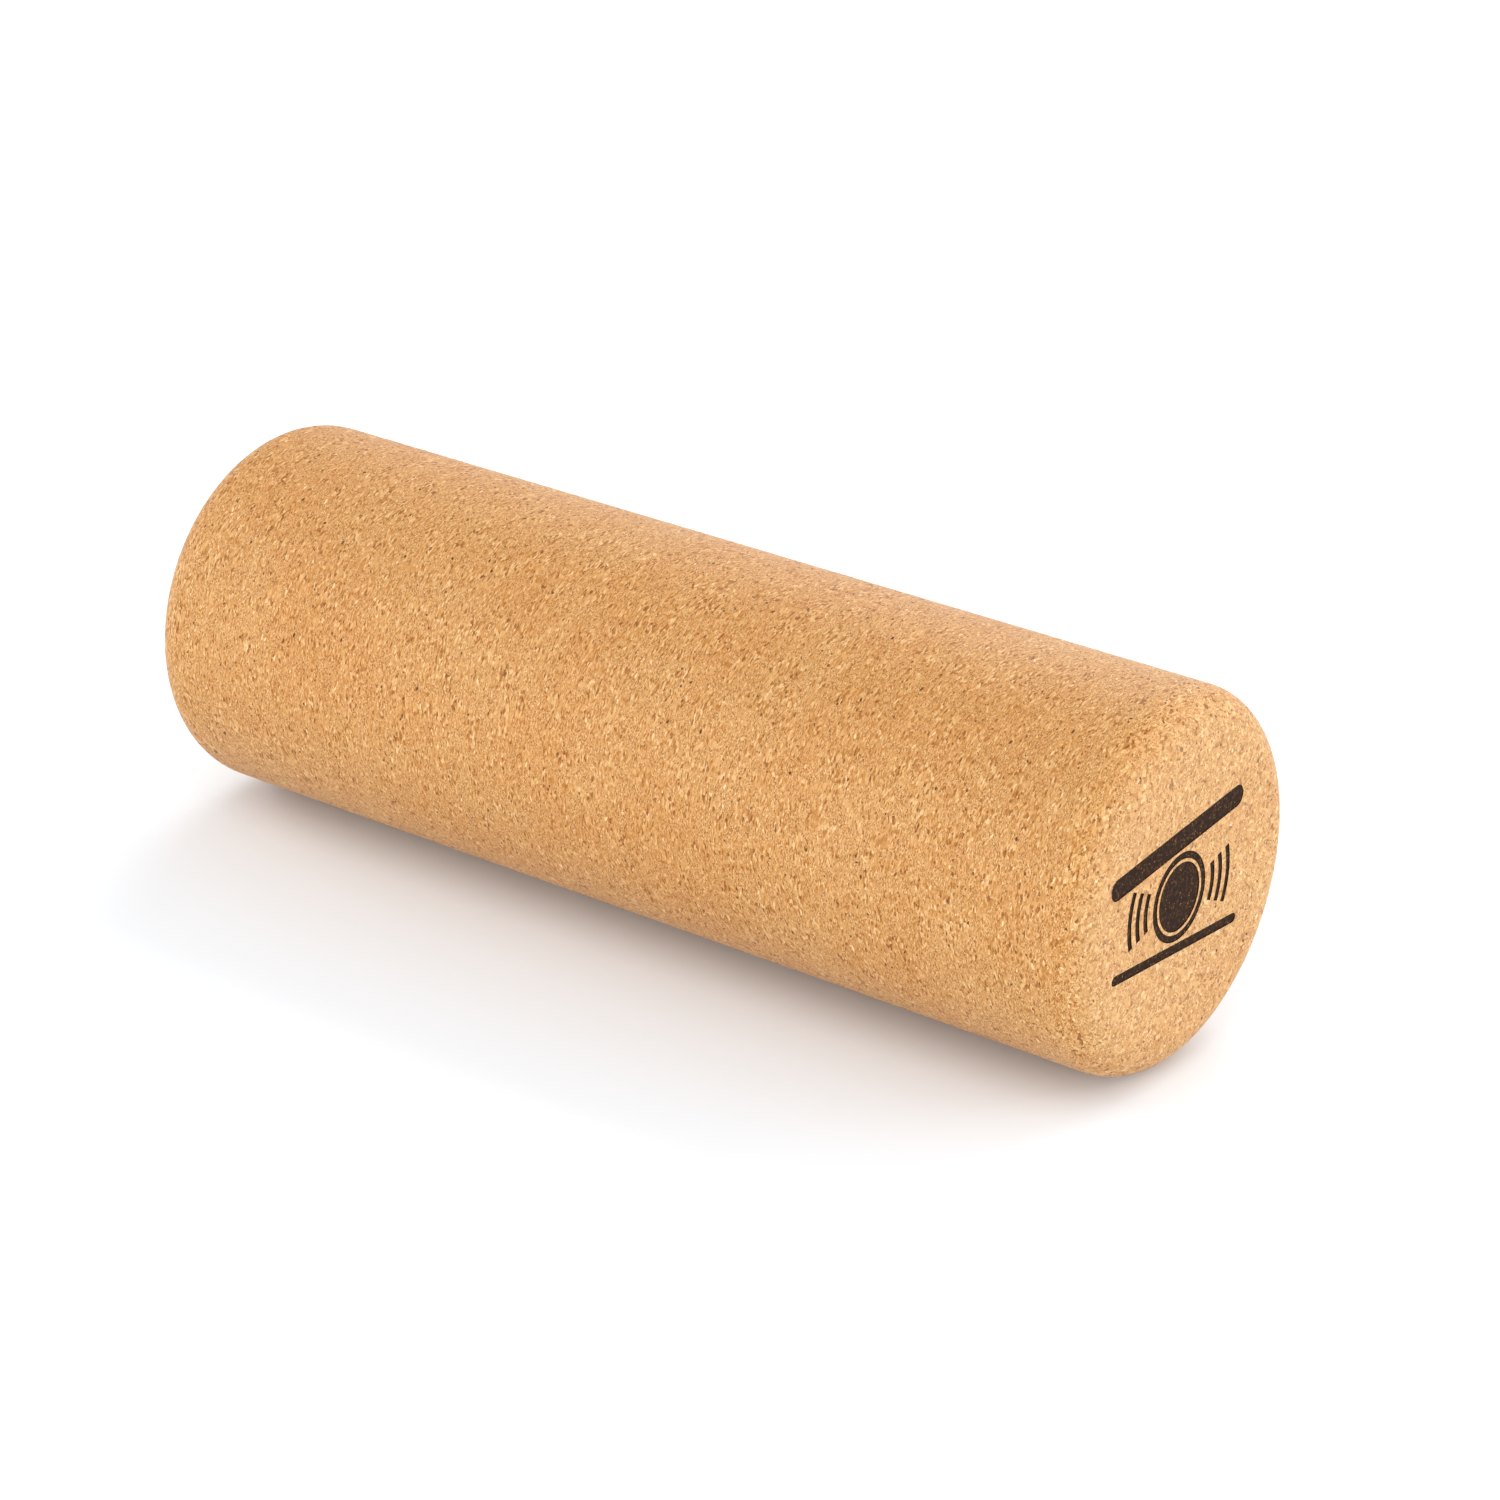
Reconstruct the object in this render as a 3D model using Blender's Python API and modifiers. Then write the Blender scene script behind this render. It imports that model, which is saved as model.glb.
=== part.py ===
"""Cork roller for an indoor balance board: one solid bar of pressed cork granules, turned to a
plain cylinder, with both rims rounded over so that they are kind to floors and hands.

Metres, +Z up. The roller lies on its side, as it is used. Its axis runs along X, and the
origin is at its centre, half a diameter above the floor. The two ends are alike.
"""

import math

import bpy

# Driving sizes. The flat disc on each end is what the rims leave of the diameter.
ROLLER_LENGTH = 0.450
ROLLER_DIAMETER = 0.150
RIM_RADIUS = 0.016

# Flat strips round the barrel. A multiple of four puts one straight below the axis, where the
# roller lies still on a level floor, and one straight above it, under the board.
BARREL_STRIPS = 64
# Steps in the quarter circle of each rim.
RIM_STEPS = 10
# The profile's ends, which lie on the axis, close to one point each within this distance.
AXIS_MERGE = 0.00001

# Bare cork, sanded and left without varnish.
CORK_COLOUR = (0.62, 0.33, 0.13, 1.0)
CORK_ROUGHNESS = 0.75


def clear_scene():
    """Empties the start-up scene."""
    for old in list(bpy.data.objects):
        bpy.data.objects.remove(old)


def new_collection(name):
    """A collection of the scene for the object's parts."""
    collection = bpy.data.collections.new(name)
    bpy.context.scene.collection.children.link(collection)
    return collection


def cork_material():
    """Bare pressed cork, matt and warm."""
    material = bpy.data.materials.new("pressed_cork")
    material.use_nodes = True
    shader = material.node_tree.nodes["Principled BSDF"]
    shader.inputs["Base Color"].default_value = CORK_COLOUR
    shader.inputs["Roughness"].default_value = CORK_ROUGHNESS
    shader.inputs["Metallic"].default_value = 0.0
    material.diffuse_color = CORK_COLOUR
    return material


def rim_arc(centre_height, start, end):
    """The quarter circle of one rim, as (radius, height) pairs from one angle to the other."""
    centre_radius = ROLLER_DIAMETER / 2 - RIM_RADIUS
    arc = []
    for step in range(RIM_STEPS + 1):
        angle = start + (end - start) * step / RIM_STEPS
        radius = centre_radius + RIM_RADIUS * math.cos(angle)
        height = centre_height + RIM_RADIUS * math.sin(angle)
        arc.append((radius, height))
    return arc


def roller_profile():
    """Half of the roller's section: out across one end, down the barrel, and back to the axis.

    Both arcs run tangent into the end faces and the barrel, so no edge shows where they meet.
    """
    half_length = ROLLER_LENGTH / 2
    rim_height = half_length - RIM_RADIUS
    upper_rim = rim_arc(rim_height, math.pi / 2, 0)
    lower_rim = rim_arc(-rim_height, 0, -math.pi / 2)
    return [(0, half_length), *upper_rim, *lower_rim, (0, -half_length)]


def turned_piece(name, profile, strips, collection):
    """A solid turned about its own Z from (radius, height) pairs, in so many flat strips.

    The profile stands on the corner between two strips, set out so that the middle of each
    strip touches the true circle. Across opposite strips the piece has its full diameter.
    """
    corner_spread = math.tan(math.pi / strips)
    points = [(radius, radius * corner_spread, height) for radius, height in profile]
    edges = [(index, index + 1) for index in range(len(points) - 1)]
    mesh = bpy.data.meshes.new(name)
    mesh.from_pydata(points, edges, [])
    piece = bpy.data.objects.new(name, mesh)
    collection.objects.link(piece)

    turn = piece.modifiers.new("turn", "SCREW")
    turn.axis = "Z"
    turn.angle = 2 * math.pi
    turn.steps = strips
    turn.render_steps = strips
    turn.use_merge_vertices = True
    turn.merge_threshold = AXIS_MERGE
    turn.use_smooth_shade = True
    return piece


def build_roller():
    """The whole roller, laid on its side."""
    collection = new_collection("balance_board_roller")
    roller = turned_piece("cork_roller", roller_profile(), BARREL_STRIPS, collection)
    roller.data.materials.append(cork_material())
    roller.rotation_euler = (0, math.pi / 2, 0)


clear_scene()
build_roller()
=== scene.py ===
"""Looks of the cork roller of an indoor balance board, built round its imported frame."""
import math

import bmesh
import bpy
from mathutils import Matrix, Vector


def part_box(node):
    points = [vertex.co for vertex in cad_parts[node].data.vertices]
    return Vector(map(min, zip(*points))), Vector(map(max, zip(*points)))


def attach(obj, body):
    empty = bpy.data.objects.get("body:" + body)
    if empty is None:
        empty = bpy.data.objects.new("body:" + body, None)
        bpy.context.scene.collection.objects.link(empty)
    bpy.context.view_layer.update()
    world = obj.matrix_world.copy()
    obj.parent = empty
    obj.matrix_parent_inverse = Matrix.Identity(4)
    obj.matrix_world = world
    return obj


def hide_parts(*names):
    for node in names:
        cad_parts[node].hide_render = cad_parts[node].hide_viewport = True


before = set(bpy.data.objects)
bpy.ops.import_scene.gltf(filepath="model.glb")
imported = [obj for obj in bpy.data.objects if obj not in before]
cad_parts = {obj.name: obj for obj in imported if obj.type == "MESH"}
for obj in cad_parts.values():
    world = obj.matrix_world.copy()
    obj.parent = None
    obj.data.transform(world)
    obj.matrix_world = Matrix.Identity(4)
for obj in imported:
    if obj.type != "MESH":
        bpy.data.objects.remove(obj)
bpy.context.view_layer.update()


# --- The billet ------------------------------------------------------------------------------
# Cork granules are mixed with a little binder, pressed flat into a thick block and baked. A bar
# is cut across the layers, turned round, sanded, and left without varnish. Its rims are rounded
# with the same sanding belt, so the curve runs into the barrel and the ends without an edge.

roller_low, roller_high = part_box("cork_roller")
ROLLER_LENGTH = roller_high[0] - roller_low[0]
ROLLER_DIAMETER = roller_high[2] - roller_low[2]
FLOOR_LEVEL = roller_low[2]
RIM_RADIUS = 0.016
STRIPS = 240
ROWS = 292
SANDING_WAVE_HEIGHT = 0.00012
SANDING_WAVE_SIZE = 0.014
SANDING_WAVE_DETAIL = 2.0
SEAM_MERGE = 0.00002
SHARP_ANGLE = math.radians(30)


def add(tree, kind, **settings):
    """A new node of that kind in the tree, with those settings."""
    node = tree.nodes.new(kind)
    for name, value in settings.items():
        setattr(node, name, value)
    return node


def feed(tree, socket, value):
    """Gives an input its value, or joins it to the output that makes it."""
    if isinstance(value, bpy.types.NodeSocket):
        tree.links.new(value, socket)
    else:
        socket.default_value = value


def calc(tree, operation, *values):
    """One step of arithmetic on numbers or outputs."""
    node = add(tree, "ShaderNodeMath", operation=operation)
    for socket, value in zip(node.inputs, values):
        feed(tree, socket, value)
    return node.outputs[0]


def new_shape_tree(name, inputs):
    """An empty Geometry Nodes tree with a geometry in and out, and named number inputs."""
    tree = bpy.data.node_groups.new(name, "GeometryNodeTree")
    tree.interface.new_socket("Geometry", in_out="INPUT", socket_type="NodeSocketGeometry")
    for label, kind in inputs.items():
        tree.interface.new_socket(label, in_out="INPUT", socket_type=kind)
    tree.interface.new_socket("Geometry", in_out="OUTPUT", socket_type="NodeSocketGeometry")
    return tree, add(tree, "NodeGroupInput").outputs, add(tree, "NodeGroupOutput").inputs[0]


def placed_object(name, data):
    """A new object in the scene."""
    thing = bpy.data.objects.new(name, data)
    bpy.context.scene.collection.objects.link(thing)
    return thing


def plain_mesh(piece):
    """What an object looks like after its modifiers, as a mesh of its own."""
    bpy.context.view_layer.update()
    evaluated = piece.evaluated_get(bpy.context.evaluated_depsgraph_get())
    return bpy.data.meshes.new_from_object(evaluated)


def settle(piece, modifier):
    """Makes a modifier's result the piece's own mesh and removes the modifier."""
    made = plain_mesh(piece)
    piece.modifiers.remove(modifier)
    piece.data = made
    made.name = piece.name
    return made


def grown_mesh(name, tree, start, settings):
    """Runs a tree on the start mesh with its inputs set, and returns a plain object."""
    piece = placed_object(name, start)
    growth = piece.modifiers.new(tree.name, "NODES")
    growth.node_group = tree
    for socket in tree.interface.items_tree:
        if socket.in_out == "INPUT" and socket.name in settings:
            growth[socket.identifier] = settings[socket.name]
    made = settle(piece, growth)

    # Set Material leaves an empty slot in front of its own.
    made.materials.clear()
    made.materials.append(settings["Material"])
    made.polygons.foreach_set("material_index", [0] * len(made.polygons))
    return piece


def turned_billet_tree():
    """A sheet of rows and strips, rolled round X, with its outline worked out from arc length."""
    tree, given, result = new_shape_tree("turned_billet", {
        "Length": "NodeSocketFloat",
        "Diameter": "NodeSocketFloat",
        "Rim Radius": "NodeSocketFloat",
        "Strips": "NodeSocketInt",
        "Rows": "NodeSocketInt",
        "Wave Height": "NodeSocketFloat",
        "Wave Size": "NodeSocketFloat",
        "Merge Distance": "NodeSocketFloat",
        "Material": "NodeSocketMaterial",
    })
    sheet = add(tree, "GeometryNodeMeshGrid")
    feed(tree, sheet.inputs["Size X"], 1.0)
    feed(tree, sheet.inputs["Size Y"], 1.0)
    feed(tree, sheet.inputs["Vertices X"], calc(tree, "ADD", given["Strips"], 1))
    feed(tree, sheet.inputs["Vertices Y"], calc(tree, "ADD", given["Rows"], 1))
    place = add(tree, "ShaderNodeSeparateXYZ")
    feed(tree, place.inputs[0], add(tree, "GeometryNodeInputPosition").outputs[0])

    # How far a point is from the middle of the barrel, along the outline.
    rim = given["Rim Radius"]
    half_barrel = calc(tree, "SUBTRACT", calc(tree, "MULTIPLY", given["Length"], 0.5), rim)
    disc = calc(tree, "SUBTRACT", calc(tree, "MULTIPLY", given["Diameter"], 0.5), rim)
    arc = calc(tree, "MULTIPLY", rim, math.pi / 2)
    reach = calc(tree, "ADD", calc(tree, "ADD", half_barrel, arc), disc)
    share = calc(tree, "MULTIPLY", calc(tree, "ABSOLUTE", place.outputs["Y"]), 2)
    walked = calc(tree, "MULTIPLY", share, reach)
    past_barrel = calc(tree, "SUBTRACT", walked, half_barrel)
    bend = calc(tree, "MINIMUM", calc(tree, "DIVIDE", past_barrel, rim), math.pi / 2)
    bend = calc(tree, "MAXIMUM", bend, 0)

    # The outline itself: barrel, then rim, then the flat end towards the axis.
    along = calc(tree, "ADD", calc(tree, "MINIMUM", walked, half_barrel),
                 calc(tree, "MULTIPLY", rim, calc(tree, "SINE", bend)))
    inward = calc(tree, "MAXIMUM", calc(tree, "SUBTRACT", past_barrel, arc), 0)
    radius = calc(tree, "ADD", disc, calc(tree, "MULTIPLY", rim, calc(tree, "COSINE", bend)))
    radius = calc(tree, "SUBTRACT", radius, inward)
    turn = calc(tree, "MULTIPLY", place.outputs["X"], 2 * math.pi)
    rolled = add(tree, "ShaderNodeCombineXYZ")
    feed(tree, rolled.inputs["X"],
         calc(tree, "MULTIPLY", along, calc(tree, "SIGN", place.outputs["Y"])))
    feed(tree, rolled.inputs["Y"], calc(tree, "MULTIPLY", radius, calc(tree, "SINE", turn)))
    feed(tree, rolled.inputs["Z"], calc(tree, "MULTIPLY", radius, calc(tree, "COSINE", turn)))
    shaped = add(tree, "GeometryNodeSetPosition")
    feed(tree, shaped.inputs["Geometry"], sheet.outputs["Mesh"])
    feed(tree, shaped.inputs["Position"], rolled.outputs[0])
    closed = add(tree, "GeometryNodeMergeByDistance")
    feed(tree, closed.inputs["Geometry"], shaped.outputs[0])
    feed(tree, closed.inputs["Distance"], given["Merge Distance"])

    # The belt leaves the surface a hair's breadth uneven.
    wave = add(tree, "ShaderNodeTexNoise")
    feed(tree, wave.inputs["Scale"], calc(tree, "DIVIDE", 1, given["Wave Size"]))
    feed(tree, wave.inputs["Detail"], SANDING_WAVE_DETAIL)
    height = calc(tree, "MULTIPLY", calc(tree, "SUBTRACT", wave.outputs["Fac"], 0.5),
                  given["Wave Height"])
    lift = add(tree, "ShaderNodeVectorMath", operation="SCALE")
    feed(tree, lift.inputs["Vector"], add(tree, "GeometryNodeInputNormal").outputs[0])
    feed(tree, lift.inputs["Scale"], height)
    sanded = add(tree, "GeometryNodeSetPosition")
    feed(tree, sanded.inputs["Geometry"], closed.outputs[0])
    feed(tree, sanded.inputs["Offset"], lift.outputs[0])

    smooth = add(tree, "GeometryNodeSetShadeSmooth")
    feed(tree, smooth.inputs[0], sanded.outputs[0])
    real = add(tree, "GeometryNodeRealizeInstances")
    feed(tree, real.inputs[0], smooth.outputs[0])
    coated = add(tree, "GeometryNodeSetMaterial")
    feed(tree, coated.inputs["Geometry"], real.outputs[0])
    feed(tree, coated.inputs["Material"], given["Material"])
    feed(tree, result, coated.outputs[0])
    return tree


# Sizes in metres. Scales are cells to a granule, or to a metre for the crumbs and patches. A
# pair of numbers says where in its pattern a feature starts to show, and where it is full.
GRAIN_THICKNESS = 0.00042
GRAIN_WIDTH = 0.0012
GRAIN_RAGGEDNESS = 0.0007
GRAIN_RIPPLES = 0.45
COARSE_SCALE = 0.7
FINE_SCALE = 1.8
CRUMB_SCALE = 160
CRUMB_EDGE = (0.46, 0.54)
STREAK_SCALE = 1.7
STREAK_SHARE = 0.7
CORK_TONES = (
    (0.00, (0.130, 0.034, 0.004)),
    (0.05, (0.300, 0.104, 0.013)),
    (0.22, (0.416, 0.174, 0.032)),
    (0.50, (0.524, 0.258, 0.080)),
    (0.78, (0.592, 0.318, 0.112)),
    (0.95, (0.650, 0.395, 0.168)),
    (1.00, (0.690, 0.465, 0.240)),
)
PATCH_SCALE = 22.0
PATCH_EDGE = (0.3, 0.7)
BROWN_PATCH = (0.985, 0.945, 0.880)
PALE_PATCH = (1.010, 1.040, 1.080)
BINDER_SCALE = 0.9
BINDER_LINE = (0.11, 0.02)
BINDER_BREAK_SCALE = 0.6
BINDER_BREAK = (0.45, 0.62)
BINDER_SHARE = 0.6
BINDER_COLOUR = (0.230, 0.082, 0.018)
SPECK_SCALE = 1.1
SPECK_CHANCE = (0.20, 0.16)
SPECK_EDGE = (0.34, 0.20)
SPECK_SHARE = 0.6
BARK_COLOUR = (0.150, 0.050, 0.012)
END_COLOUR = (0.565, 0.440, 0.250)
END_SHARE = 0.14
CORK_ROUGHNESS = 0.6
CORK_SHINE = 0.3
CORK_SHEEN = 0.08
CORK_SHEEN_ROUGHNESS = 0.4
TONE_RELIEF = 0.4
RELIEF_STRENGTH = 0.5
RELIEF_DEPTH = 0.00015


def new_material(name):
    """A node material, with its tree and its shader."""
    material = bpy.data.materials.new(name)
    material.use_nodes = True
    return material, material.node_tree, material.node_tree.nodes["Principled BSDF"]


def sanded_finish(shader):
    """The dull finish of bare sanded cork, with a trace of fluff."""
    shader.inputs["Roughness"].default_value = CORK_ROUGHNESS
    shader.inputs["Specular IOR Level"].default_value = CORK_SHINE
    shader.inputs["Sheen Weight"].default_value = CORK_SHEEN
    shader.inputs["Sheen Roughness"].default_value = CORK_SHEEN_ROUGHNESS


def relief(tree, shader, height, strength, depth):
    """Fine relief from a height."""
    bump = add(tree, "ShaderNodeBump")
    feed(tree, bump.inputs["Strength"], strength)
    feed(tree, bump.inputs["Distance"], depth)
    feed(tree, bump.inputs["Height"], height)
    feed(tree, shader.inputs["Normal"], bump.outputs[0])


def colour_ramp(tree, value, tones):
    """Tones picked by a number from 0 to 1."""
    ramp = add(tree, "ShaderNodeValToRGB")
    for index, (position, colour) in enumerate(tones):
        if index < 2:
            stop = ramp.color_ramp.elements[index]
        else:
            stop = ramp.color_ramp.elements.new(position)
        stop.position = position
        stop.color = (*colour, 1.0)
    feed(tree, ramp.inputs[0], value)
    return ramp.outputs[0]


def mixed(tree, blend, amount, first, second):
    """Two colours mixed by an amount."""
    mix = add(tree, "ShaderNodeMix", data_type="RGBA", blend_type=blend)
    feed(tree, mix.inputs[0], amount)
    feed(tree, mix.inputs[6], first)
    feed(tree, mix.inputs[7], second)
    return mix.outputs[2]


def stretch(tree, value, low, high):
    """A number that climbs smoothly from 0 at low to 1 at high, and stays there."""
    step = add(tree, "ShaderNodeMapRange", interpolation_type="SMOOTHSTEP")
    for socket, number in zip(step.inputs, (value, low, high)):
        feed(tree, socket, number)
    return step.outputs[0]


def grain_space(tree, thickness, width, raggedness):
    """Object coordinates counted in granules, with the granules' outlines made uneven."""
    place = add(tree, "ShaderNodeTexCoord").outputs["Object"]
    ripple = add(tree, "ShaderNodeTexNoise")
    feed(tree, ripple.inputs["Vector"], place)
    feed(tree, ripple.inputs["Scale"], GRAIN_RIPPLES / width)
    feed(tree, ripple.inputs["Detail"], 2.0)
    push = add(tree, "ShaderNodeVectorMath", operation="MULTIPLY_ADD")
    feed(tree, push.inputs[0], ripple.outputs["Color"])
    feed(tree, push.inputs[1], (raggedness, raggedness * 2, raggedness * 2))
    feed(tree, push.inputs[2], place)
    counted = add(tree, "ShaderNodeMapping")
    feed(tree, counted.inputs["Vector"], push.outputs[0])
    counted.inputs["Scale"].default_value = (1 / thickness, 1 / width, 1 / width)
    return counted.outputs[0]


def cells(tree, space, scale, feature="F1"):
    """Voronoi cells: a distance and a random colour for each."""
    pattern = add(tree, "ShaderNodeTexVoronoi", feature=feature)
    feed(tree, pattern.inputs["Vector"], space)
    feed(tree, pattern.inputs["Scale"], scale)
    return pattern


def noise(tree, space, scale, detail=2.0):
    """Soft noise from 0 to 1."""
    pattern = add(tree, "ShaderNodeTexNoise")
    feed(tree, pattern.inputs["Vector"], space)
    feed(tree, pattern.inputs["Scale"], scale)
    feed(tree, pattern.inputs["Detail"], detail)
    return pattern.outputs["Fac"]


def red_of(tree, colour):
    """One channel of a random colour, as a random number."""
    split = add(tree, "ShaderNodeSeparateColor")
    feed(tree, split.inputs[0], colour)
    return split.outputs["Red"]


def specks(tree, space, scale, chance, edge):
    """A soft spot in the middle of the few cells that chance picks."""
    pattern = cells(tree, space, scale)
    picked = stretch(tree, red_of(tree, pattern.outputs["Color"]), *chance)
    close = stretch(tree, pattern.outputs["Distance"], *edge)
    return calc(tree, "MULTIPLY", picked, close)


def cork_material(name):
    """Sanded pressed cork."""
    material, tree, shader = new_material(name)
    space = grain_space(tree, GRAIN_THICKNESS, GRAIN_WIDTH, GRAIN_RAGGEDNESS)
    place = add(tree, "ShaderNodeTexCoord").outputs["Object"]

    # Granules of two sizes, each with its own tone.
    coarse = cells(tree, space, COARSE_SCALE)
    fine = cells(tree, space, FINE_SCALE)
    crumbs = stretch(tree, noise(tree, place, CRUMB_SCALE), *CRUMB_EDGE)
    tone = add(tree, "ShaderNodeMix", data_type="FLOAT")
    feed(tree, tone.inputs[0], crumbs)
    feed(tree, tone.inputs[2], red_of(tree, coarse.outputs["Color"]))
    feed(tree, tone.inputs[3], red_of(tree, fine.outputs["Color"]))
    streaks = calc(tree, "SUBTRACT", noise(tree, space, STREAK_SCALE, detail=4.0), 0.5)
    tone = calc(tree, "MULTIPLY_ADD", streaks, STREAK_SHARE, tone.outputs[0])
    colour = colour_ramp(tree, tone, CORK_TONES)

    # Patches a few centimetres across, from browner to paler.
    patches = stretch(tree, noise(tree, place, PATCH_SCALE, detail=3.0), *PATCH_EDGE)
    shade = mixed(tree, "MIX", patches, (*BROWN_PATCH, 1), (*PALE_PATCH, 1))
    colour = mixed(tree, "MULTIPLY", 1.0, colour, shade)

    # The binder shows as a thin darker line round some of the granules.
    outline = cells(tree, space, BINDER_SCALE, "DISTANCE_TO_EDGE")
    line = stretch(tree, outline.outputs["Distance"], *BINDER_LINE)
    broken = stretch(tree, noise(tree, space, BINDER_BREAK_SCALE), *BINDER_BREAK)
    binder = calc(tree, "MULTIPLY", calc(tree, "MULTIPLY", line, broken), BINDER_SHARE)
    colour = mixed(tree, "MIX", binder, colour, (*BINDER_COLOUR, 1))

    # Specks of bark in a few of the granules.
    speck = specks(tree, space, SPECK_SCALE, SPECK_CHANCE, SPECK_EDGE)
    bark = calc(tree, "MULTIPLY", speck, SPECK_SHARE)
    colour = mixed(tree, "MIX", bark, colour, (*BARK_COLOUR, 1))

    # The ends, from halfway round the rim outwards, are mixed a little towards a paler, less
    # saturated colour.
    across = add(tree, "ShaderNodeSeparateXYZ")
    feed(tree, across.inputs[0], place)
    half = ROLLER_LENGTH / 2
    end = stretch(tree, calc(tree, "ABSOLUTE", across.outputs["X"]), half - RIM_RADIUS / 2, half)
    colour = mixed(tree, "MIX", calc(tree, "MULTIPLY", end, END_SHARE), colour, (*END_COLOUR, 1))
    feed(tree, shader.inputs["Base Color"], colour)

    sanded_finish(shader)
    height = calc(tree, "SUBTRACT", calc(tree, "MULTIPLY", tone, TONE_RELIEF), speck)
    relief(tree, shader, height, RELIEF_STRENGTH, RELIEF_DEPTH)
    return material


cork = cork_material("sanded_cork")
billet = grown_mesh("cork_billet", turned_billet_tree(), bpy.data.meshes.new("billet_start"), {
    "Length": ROLLER_LENGTH,
    "Diameter": ROLLER_DIAMETER,
    "Rim Radius": RIM_RADIUS,
    "Strips": STRIPS,
    "Rows": ROWS,
    "Wave Height": SANDING_WAVE_HEIGHT,
    "Wave Size": SANDING_WAVE_SIZE,
    "Merge Distance": SEAM_MERGE,
    "Material": cork,
})


# --- The mark --------------------------------------------------------------------------------
# One end carries a small picture of a board tipping on its roller, burnt into the cork with a hot
# stamp: the stamp sinks a third of a millimetre and leaves dark brown char with crisp edges.

MARK_CENTRE = (-0.0055, 0.0045)
MARK_TURN = math.radians(-5)
MARK_DEPTH = 0.00035
MARK_GAP = 0.0011
GROUND_SIZE = (0.084, 0.0040)
GROUND_DROP = 0.0252
BOARD_SIZE = (0.088, 0.0088)
BOARD_TIP = math.radians(10)
WHEEL_RADIUS = 0.0176
WHEEL_RINGS = (1.0, 0.84, 0.77)
SWING_RADII = (1.28, 1.58, 1.88)
SWING_ANGLE = math.radians(20)
STROKE_WIDTH = 0.0026
STAMP_CLEARANCE = 0.001
CIRCLE_STEPS = 64
BAR_END_STEPS = 12
SWING_STEPS = 16
CHAR_RAGGEDNESS = 0.0004
CHAR_SCALE = 0.9
CHAR_TONES = (
    (0.25, (0.012, 0.005, 0.002)),
    (0.55, (0.024, 0.010, 0.004)),
    (0.75, (0.100, 0.042, 0.015)),
)
MISSED_SCALE = 1.2
MISSED_CHANCE = (0.16, 0.10)
MISSED_EDGE = (0.36, 0.14)
MISSED_COLOUR = (0.340, 0.170, 0.065)
CHAR_ROUGHNESS = 0.8
CHAR_SHINE = 0.12
CHAR_RELIEF_STRENGTH = 0.6
CHAR_RELIEF_DEPTH = 0.0002


def scorched_material(name):
    """Cork burnt brown, with a few granules that the stamp missed."""
    material, tree, shader = new_material(name)
    space = grain_space(tree, GRAIN_WIDTH, GRAIN_WIDTH, CHAR_RAGGEDNESS)
    char = noise(tree, space, CHAR_SCALE, detail=4.0)
    colour = colour_ramp(tree, char, CHAR_TONES)
    missed = specks(tree, space, MISSED_SCALE, MISSED_CHANCE, MISSED_EDGE)
    colour = mixed(tree, "MIX", missed, colour, (*MISSED_COLOUR, 1))
    feed(tree, shader.inputs["Base Color"], colour)
    shader.inputs["Roughness"].default_value = CHAR_ROUGHNESS
    shader.inputs["Specular IOR Level"].default_value = CHAR_SHINE
    relief(tree, shader, char, CHAR_RELIEF_STRENGTH, CHAR_RELIEF_DEPTH)
    return material


def arc_points(centre, radius, start, end, steps):
    """Points along an arc."""
    angles = [start + (end - start) * step / steps for step in range(steps + 1)]
    return [(centre[0] + radius * math.cos(angle), centre[1] + radius * math.sin(angle))
            for angle in angles]


def circle_outline(centre, radius):
    """A whole circle."""
    return arc_points(centre, radius, 0, 2 * math.pi, CIRCLE_STEPS)[:-1]


def bar_outline(centre, length, width, turn):
    """A bar with round ends, turned about its centre."""
    reach = (length - width) / 2
    along = (math.cos(turn) * reach, math.sin(turn) * reach)
    right = (centre[0] + along[0], centre[1] + along[1])
    left = (centre[0] - along[0], centre[1] - along[1])
    quarter = math.pi / 2
    return (arc_points(right, width / 2, turn - quarter, turn + quarter, BAR_END_STEPS)
            + arc_points(left, width / 2, turn + quarter, turn + 3 * quarter, BAR_END_STEPS))


def swing_outline(centre, radius, width, middle, spread):
    """A curved stroke round a centre."""
    start = middle - spread
    end = middle + spread
    outer = arc_points(centre, radius + width / 2, start, end, SWING_STEPS)
    inner = arc_points(centre, radius - width / 2, end, start, SWING_STEPS)
    return outer + inner


def mark_outlines():
    """The picture from the ground up: ground, roller, swing strokes and board."""
    ground = (0, -GROUND_DROP)
    wheel = (0, ground[1] + GROUND_SIZE[1] / 2 + MARK_GAP + WHEEL_RADIUS)
    lift = WHEEL_RADIUS + MARK_GAP + BOARD_SIZE[1] / 2
    board = (wheel[0] - lift * math.sin(BOARD_TIP), wheel[1] + lift * math.cos(BOARD_TIP))
    outlines = [bar_outline(ground, *GROUND_SIZE, 0), bar_outline(board, *BOARD_SIZE, BOARD_TIP)]
    outlines += [circle_outline(wheel, WHEEL_RADIUS * share) for share in WHEEL_RINGS]
    outlines += [swing_outline(wheel, WHEEL_RADIUS * share, STROKE_WIDTH, side, SWING_ANGLE)
                 for share in SWING_RADII for side in (0, math.pi)]
    return outlines


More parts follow.
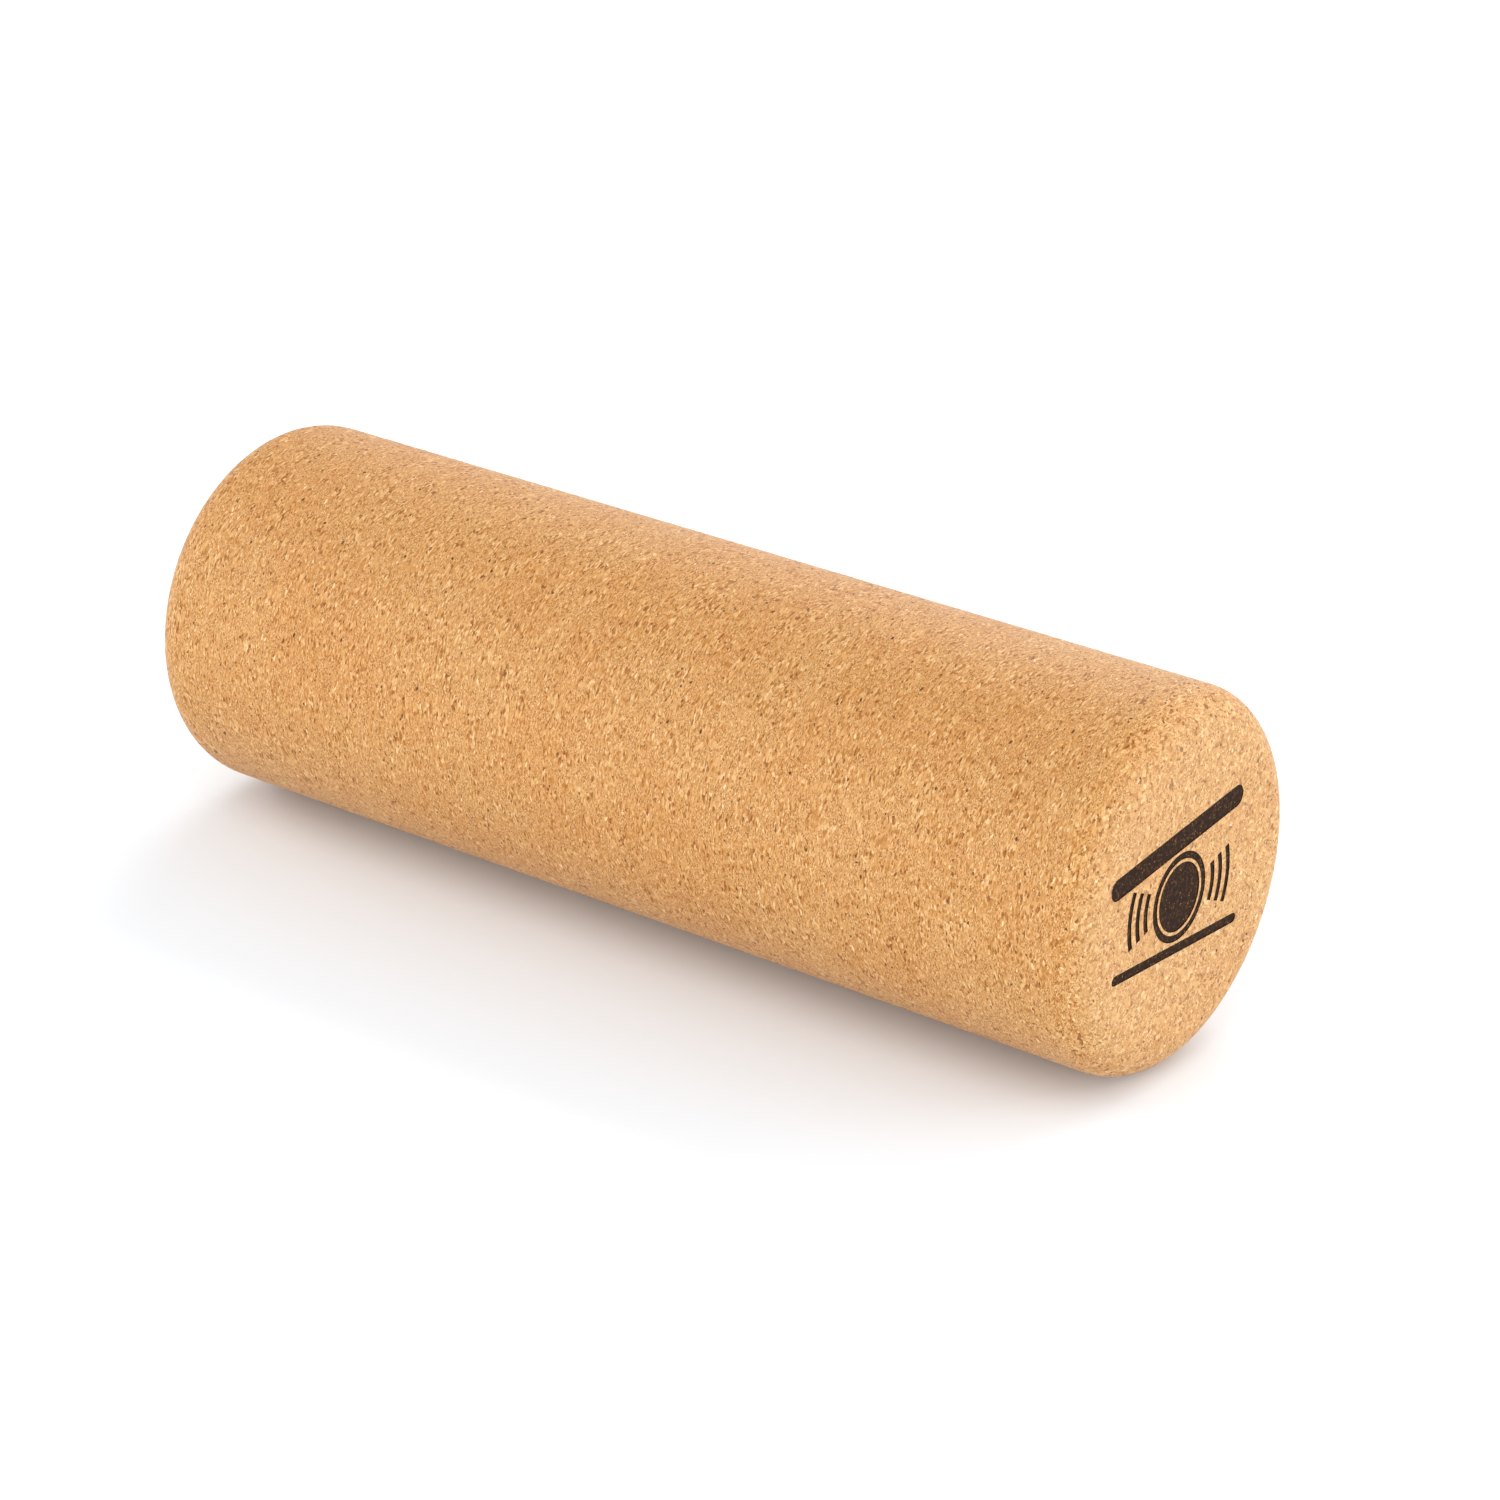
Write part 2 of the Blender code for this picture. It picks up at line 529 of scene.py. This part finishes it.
def stamp(outlines, material):
    """The hot stamp: the outlines raised into a solid that sinks into the marked end."""
    curve = bpy.data.curves.new("stamp_outlines", "CURVE")
    curve.dimensions = "2D"
    curve.fill_mode = "BOTH"
    curve.extrude = (MARK_DEPTH + STAMP_CLEARANCE) / 2
    for outline in outlines:
        spline = curve.splines.new("POLY")
        spline.points.add(len(outline) - 1)
        for point, (right, up) in zip(spline.points, outline):
            point.co = (right, up, 0, 1)
        spline.use_cyclic_u = True
    flat = placed_object("stamp_outlines", curve)
    solid = plain_mesh(flat)
    bpy.data.objects.remove(flat)

    shell = bmesh.new()
    shell.from_mesh(solid)
    bmesh.ops.remove_doubles(shell, verts=shell.verts, dist=SEAM_MERGE)
    middle = ROLLER_LENGTH / 2 + (STAMP_CLEARANCE - MARK_DEPTH) / 2
    onto_end = Matrix(((0, 0, 1), (1, 0, 0), (0, 1, 0))).to_4x4()
    turned = Matrix.Rotation(MARK_TURN, 4, "Z")
    place = Matrix.Translation((middle, *MARK_CENTRE)) @ onto_end @ turned
    bmesh.ops.transform(shell, matrix=place, verts=shell.verts)
    bmesh.ops.recalc_face_normals(shell, faces=shell.faces)
    shell.to_mesh(solid)
    shell.free()
    solid.materials.clear()
    solid.materials.append(material)
    return placed_object("hot_stamp", solid)


hot_stamp = stamp(mark_outlines(), scorched_material("scorched_cork"))
burn = billet.modifiers.new("burn", "BOOLEAN")
burn.operation = "DIFFERENCE"
burn.solver = "EXACT"
burn.material_mode = "TRANSFER"
burn.object = hot_stamp
marked_mesh = settle(billet, burn)
marked_mesh.set_sharp_from_angle(angle=SHARP_ANGLE)
bpy.data.objects.remove(hot_stamp)
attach(billet, "root")
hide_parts("cork_roller")


# --- The flecks ------------------------------------------------------------------------------
# Chips in the cork that the sanding has laid open: pale and tan flakes and small brown bits of
# bark. The press lays them flat, so the barrel shows their thin edges, running round it, and the
# ends show them full face. The belt wears them less than the rest, so they stand a hair proud.

FLECK_SIDES = 6
FLECK_TOP = 0.8
FLECK_HEIGHT = 0.00012
MARK_CLEARANCE = 0.0012

# Sways are in radians. The END numbers say how a chip on an end differs from one on the barrel.
BARREL_SWAY = 0.45
END_EXTRA_SWAY = 2.7
SMALLEST_SHARE = 0.4
END_FINER_BY = 0.14
END_THICKENING = 0.4
STRETCH_RANGE = (0.6, 1.2)
END_SHORTER_BY = 0.2
RAGGED_SCALE = 1.1
MOTTLE_SHARE = 1.2
PALE_TONES = (
    (0.0, (0.620, 0.345, 0.125)),
    (0.6, (0.690, 0.430, 0.185)),
    (1.0, (0.760, 0.540, 0.300)),
)
TAN_TONES = (
    (0.0, (0.260, 0.088, 0.014)),
    (0.5, (0.345, 0.132, 0.024)),
    (1.0, (0.430, 0.188, 0.042)),
)
BARK_TONES = (
    (0.0, (0.070, 0.018, 0.004)),
    (0.5, (0.170, 0.052, 0.009)),
    (1.0, (0.300, 0.105, 0.020)),
)


def random_number(tree, seed, draw, low, high):
    """A random number for each fleck. Each use has its own draw."""
    pick = add(tree, "FunctionNodeRandomValue", data_type="FLOAT")
    feed(tree, pick.inputs[2], low)
    feed(tree, pick.inputs[3], high)
    feed(tree, pick.inputs["Seed"], calc(tree, "MULTIPLY_ADD", seed, 10, draw))
    return pick.outputs[1]


def scattered_flecks_tree():
    """Flat chips laid in a surface at random, away from the mark."""
    tree, given, result = new_shape_tree("scattered_flecks", {
        "Flecks Per Square Metre": "NodeSocketFloat",
        "Thickness": "NodeSocketFloat",
        "Width": "NodeSocketFloat",
        "Height": "NodeSocketFloat",
        "Sides": "NodeSocketInt",
        "Top Share": "NodeSocketFloat",
        "Distance From Mark": "NodeSocketFloat",
        "Seed": "NodeSocketInt",
        "Material": "NodeSocketMaterial",
    })
    scatter = add(tree, "GeometryNodeDistributePointsOnFaces", distribute_method="RANDOM")
    feed(tree, scatter.inputs["Mesh"], given["Geometry"])
    feed(tree, scatter.inputs["Density"], given["Flecks Per Square Metre"])
    feed(tree, scatter.inputs["Seed"], given["Seed"])
    normal = scatter.outputs["Normal"]

    # Leave out the ones on the mark or close to its edge. The char is the second material.
    char = add(tree, "GeometryNodeSeparateGeometry", domain="FACE")
    feed(tree, char.inputs["Geometry"], given["Geometry"])
    is_char = add(tree, "FunctionNodeCompare", data_type="INT", operation="GREATER_THAN")
    feed(tree, is_char.inputs[2], add(tree, "GeometryNodeInputMaterialIndex").outputs[0])
    feed(tree, char.inputs["Selection"], is_char.outputs[0])
    near = add(tree, "GeometryNodeProximity", target_element="FACES")
    feed(tree, near.inputs[0], char.outputs["Selection"])
    too_near = calc(tree, "LESS_THAN", near.outputs["Distance"], given["Distance From Mark"])
    kept = add(tree, "GeometryNodeDeleteGeometry", domain="POINT")
    feed(tree, kept.inputs["Geometry"], scatter.outputs["Points"])
    feed(tree, kept.inputs["Selection"], too_near)

    # Thin side along the axis on the barrel, any way round on the ends.
    facing = add(tree, "ShaderNodeSeparateXYZ")
    feed(tree, facing.inputs[0], normal)
    on_end = calc(tree, "POWER", calc(tree, "ABSOLUTE", facing.outputs["X"]), 2)
    upright = add(tree, "FunctionNodeAlignRotationToVector", axis="Z")
    feed(tree, upright.inputs["Vector"], normal)
    lined = add(tree, "FunctionNodeAlignRotationToVector", axis="X", pivot_axis="Z")
    feed(tree, lined.inputs["Rotation"], upright.outputs[0])
    feed(tree, lined.inputs["Vector"], (1, 0, 0))
    sway = calc(tree, "MULTIPLY_ADD", on_end, END_EXTRA_SWAY, BARREL_SWAY)
    angle = calc(tree, "MULTIPLY", random_number(tree, given["Seed"], 1, -1.0, 1.0), sway)
    twist = add(tree, "FunctionNodeAxisAngleToRotation")
    feed(tree, twist.inputs["Axis"], (0, 0, 1))
    feed(tree, twist.inputs["Angle"], angle)
    turned = add(tree, "FunctionNodeRotateRotation", rotation_space="LOCAL")
    feed(tree, turned.inputs[0], lined.outputs[0])
    feed(tree, turned.inputs[1], twist.outputs[0])

    # Many small ones and a few large, and finer ones on the ends.
    size = calc(tree, "POWER", random_number(tree, given["Seed"], 2, 0.0, 1.0), 3)
    smallest = calc(tree, "MULTIPLY_ADD", on_end, -END_FINER_BY, SMALLEST_SHARE)
    size = calc(tree, "ADD", size, smallest)
    spare = calc(tree, "SUBTRACT", given["Width"], given["Thickness"])
    extra = calc(tree, "MULTIPLY", calc(tree, "MULTIPLY", spare, on_end), END_THICKENING)
    across = calc(tree, "ADD", given["Thickness"], extra)
    share = calc(tree, "SUBTRACT", random_number(tree, given["Seed"], 3, *STRETCH_RANGE),
                 calc(tree, "MULTIPLY", on_end, END_SHORTER_BY))
    stretched = calc(tree, "MULTIPLY", share, given["Width"])
    scale = add(tree, "ShaderNodeCombineXYZ")
    feed(tree, scale.inputs["X"], calc(tree, "MULTIPLY", across, size))
    feed(tree, scale.inputs["Y"], calc(tree, "MULTIPLY", stretched, size))
    feed(tree, scale.inputs["Z"], given["Height"])

    # A chip one unit across and one high, so that its scale is its size.
    chip = add(tree, "GeometryNodeMeshCone", fill_type="NGON")
    feed(tree, chip.inputs["Vertices"], given["Sides"])
    feed(tree, chip.inputs["Radius Top"], calc(tree, "MULTIPLY", given["Top Share"], 0.5))
    feed(tree, chip.inputs["Radius Bottom"], 0.5)
    feed(tree, chip.inputs["Depth"], 1.0)
    sunk = add(tree, "GeometryNodeTransform")
    feed(tree, sunk.inputs["Geometry"], chip.outputs["Mesh"])
    feed(tree, sunk.inputs["Translation"], (0, 0, -0.5))
    laid = add(tree, "GeometryNodeInstanceOnPoints")
    feed(tree, laid.inputs["Points"], kept.outputs[0])
    feed(tree, laid.inputs["Instance"], sunk.outputs[0])
    feed(tree, laid.inputs["Rotation"], turned.outputs[0])
    feed(tree, laid.inputs["Scale"], scale.outputs[0])
    toned = add(tree, "GeometryNodeStoreNamedAttribute", data_type="FLOAT", domain="INSTANCE")
    feed(tree, toned.inputs["Geometry"], laid.outputs[0])
    feed(tree, toned.inputs["Name"], "tone")
    feed(tree, toned.inputs["Value"], random_number(tree, given["Seed"], 4, 0.0, 1.0))
    real = add(tree, "GeometryNodeRealizeInstances")
    feed(tree, real.inputs[0], toned.outputs[0])

    # Their outlines are uneven, but only along the surface.
    ragged = add(tree, "ShaderNodeTexNoise")
    feed(tree, ragged.inputs["Scale"], calc(tree, "DIVIDE", RAGGED_SCALE, given["Width"]))
    feed(tree, ragged.inputs["Detail"], 1.0)
    push = add(tree, "ShaderNodeVectorMath", operation="SUBTRACT")
    feed(tree, push.inputs[0], ragged.outputs["Color"])
    feed(tree, push.inputs[1], (0.5, 0.5, 0.5))
    outward = add(tree, "ShaderNodeVectorMath", operation="PROJECT")
    feed(tree, outward.inputs[0], push.outputs[0])
    feed(tree, outward.inputs[1], normal)
    level = add(tree, "ShaderNodeVectorMath", operation="SUBTRACT")
    feed(tree, level.inputs[0], push.outputs[0])
    feed(tree, level.inputs[1], outward.outputs[0])
    shift = add(tree, "ShaderNodeVectorMath", operation="SCALE")
    feed(tree, shift.inputs[0], level.outputs[0])
    feed(tree, shift.inputs["Scale"], given["Thickness"])
    worn = add(tree, "GeometryNodeSetPosition")
    feed(tree, worn.inputs["Geometry"], real.outputs[0])
    feed(tree, worn.inputs["Offset"], shift.outputs[0])
    coated = add(tree, "GeometryNodeSetMaterial")
    feed(tree, coated.inputs["Geometry"], worn.outputs[0])
    feed(tree, coated.inputs["Material"], given["Material"])
    feed(tree, result, coated.outputs[0])
    return tree


def fleck_material(name, tones):
    """A chip's own tone, a little mottled."""
    material, tree, shader = new_material(name)
    place = add(tree, "ShaderNodeTexCoord").outputs["Object"]
    own_tone = add(tree, "ShaderNodeAttribute", attribute_name="tone").outputs["Fac"]
    mottle = calc(tree, "SUBTRACT", noise(tree, place, 1 / GRAIN_THICKNESS), 0.5)
    tone = calc(tree, "MULTIPLY_ADD", mottle, MOTTLE_SHARE, own_tone)
    feed(tree, shader.inputs["Base Color"], colour_ramp(tree, tone, tones))
    sanded_finish(shader)
    return material


# Each kind: flecks to the square metre, thickness, width, seed and tones.
FLECKS = {
    "pale_flecks": (24000.0, 0.0008, 0.0023, 3, PALE_TONES),
    "tan_flecks": (24000.0, 0.0009, 0.0022, 5, TAN_TONES),
    "bark_flecks": (20000.0, 0.0009, 0.0015, 8, BARK_TONES),
}
flecks_tree = scattered_flecks_tree()
for name, (number, thickness, width, seed, tones) in FLECKS.items():
    flecks = grown_mesh(name, flecks_tree, billet.data.copy(), {
        "Flecks Per Square Metre": number,
        "Thickness": thickness,
        "Width": width,
        "Height": FLECK_HEIGHT,
        "Sides": FLECK_SIDES,
        "Top Share": FLECK_TOP,
        "Distance From Mark": MARK_CLEARANCE,
        "Seed": seed,
        "Material": fleck_material(name, tones),
    })
    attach(flecks, "root")


# --- The studio ------------------------------------------------------------------------------
# White paper on the floor, wide enough to fill the view. Soft boxes stand all round: one behind
# and above for the top of the barrel, low ones in front and at the right for its face and the
# marked end, and the rest to keep the shadow pale.

PAPER_SIZE = 24.0
PAPER_COLOUR = (0.82, 0.86, 0.90)
PAPER_ROUGHNESS = 0.9
ROOM_LIGHT = 0.68
bpy.ops.mesh.primitive_plane_add(size=PAPER_SIZE, location=(0, 0, FLOOR_LEVEL))
floor = bpy.context.object
floor.name = "white_floor"
paper, _, paper_shader = new_material("white_paper")
paper_shader.inputs["Base Color"].default_value = (*PAPER_COLOUR, 1)
paper_shader.inputs["Roughness"].default_value = PAPER_ROUGHNESS
floor.data.materials.append(paper)

# Each soft box: width, height, watts, and where it stands. All face the roller.
SOFT_BOXES = {
    "behind_above": (2.4, 1.2, 27.8, (0.0, 1.5, 1.1)),
    "front_low": (2.8, 1.0, 24.2, (-0.2, -2.0, 0.35)),
    "front_high": (2.2, 1.2, 10.4, (-0.2, -1.1, 1.9)),
    "left": (1.4, 1.2, 15.1, (-2.0, -0.6, 0.8)),
    "right_low": (1.6, 0.8, 18.0, (2.25, -0.4, 0.45)),
    "right_behind": (1.4, 1.2, 14.8, (1.8, 0.9, 0.8)),
}
for name, (width, height, watts, stand) in SOFT_BOXES.items():
    lamp = bpy.data.lights.new(name, "AREA")
    lamp.shape = "RECTANGLE"
    lamp.size = width
    lamp.size_y = height
    lamp.energy = watts
    light = placed_object(name, lamp)
    light.location = stand
    light.rotation_euler = (-Vector(stand)).to_track_quat("-Z", "Y").to_euler()

world = bpy.data.worlds.new("white_room")
world.use_nodes = True
room = world.node_tree.nodes["Background"]
room.inputs["Color"].default_value = (1, 1, 1, 1)
room.inputs["Strength"].default_value = ROOM_LIGHT
bpy.context.scene.world = world
bpy.context.scene.view_settings.view_transform = "Standard"


# --- The camera ------------------------------------------------------------------------------
# A long lens from the front right, a little above, with the marked end nearest. It stands close
# enough for the far end to look smaller than the near one.

CAMERA_AZIMUTH = math.radians(37.29)
CAMERA_ELEVATION = math.radians(25.34)
CAMERA_DISTANCE = 1.859
CAMERA_AIM = Vector((0.0241, 0.0, -0.0006))
LENS = 115.0
SENSOR = 36.0
towards_camera = Vector((
    math.sin(CAMERA_AZIMUTH) * math.cos(CAMERA_ELEVATION),
    -math.cos(CAMERA_AZIMUTH) * math.cos(CAMERA_ELEVATION),
    math.sin(CAMERA_ELEVATION),
))
camera_data = bpy.data.cameras.new("camera")
camera_data.sensor_width = SENSOR
camera_data.lens = LENS
camera = placed_object("camera", camera_data)
camera.location = CAMERA_AIM + towards_camera * CAMERA_DISTANCE
camera.rotation_euler = (-towards_camera).to_track_quat("-Z", "Y").to_euler()
bpy.context.scene.camera = camera
